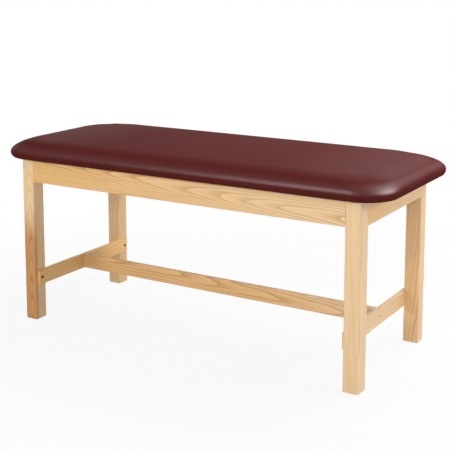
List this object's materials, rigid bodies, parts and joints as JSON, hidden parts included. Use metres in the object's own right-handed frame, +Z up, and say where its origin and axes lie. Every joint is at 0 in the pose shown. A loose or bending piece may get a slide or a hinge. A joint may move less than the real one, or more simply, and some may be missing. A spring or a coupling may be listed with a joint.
{
  "type": "treatment table",
  "caption": "Flat treatment table: padded vinyl top with rounded corners on a bolted hardwood frame of square legs, deep aprons and an H-shaped lower brace.",
  "frame": {"origin": "on the floor, under the middle of the table", "axes": "+X along the table, +Y across it to the back, +Z up"},
  "size_m": [1.855, 0.767, 0.8294],
  "materials": {
    "clear_finished_ash": "satin",
    "plywood": "matte",
    "beech_dowel": "matte",
    "foam": "matte",
    "maroon_vinyl": "satin",
    "black_steel": "satin",
    "zinc_steel": "satin",
    "nylon": "matte"
  },
  "bodies": {
    "root": {"apron_back": "clear_finished_ash", "apron_dowels": "beech_dowel", "apron_front": "clear_finished_ash", "apron_left": "clear_finished_ash", "apron_right": "clear_finished_ash", "barrel_nuts": "zinc_steel", "block_screws": "zinc_steel", "brace_bolts": "black_steel", "brace_dowels": "beech_dowel", "bracket_screws": "zinc_steel", "centre_cross_rail": "clear_finished_ash", "corner_block_back_left": "clear_finished_ash", "corner_block_back_right": "clear_finished_ash", "corner_block_front_left": "clear_finished_ash", "corner_block_front_right": "clear_finished_ash", "deck_brackets": "zinc_steel", "end_stretcher_left": "clear_finished_ash", "end_stretcher_right": "clear_finished_ash", "floor_glides": "nylon", "foam_core": "foam", "hanger_bolts": "zinc_steel", "hanger_nuts": "zinc_steel", "hanger_washers": "zinc_steel", "leg_back_left": "clear_finished_ash", "leg_back_right": "clear_finished_ash", "leg_front_left": "clear_finished_ash", "leg_front_right": "clear_finished_ash", "leg_inserts": "zinc_steel", "long_stretcher": "clear_finished_ash", "rail_dowels": "beech_dowel", "stretcher_bolts": "black_steel", "top_deck": "plywood", "vinyl_cover": "maroon_vinyl"}
  },
  "joints": []
}
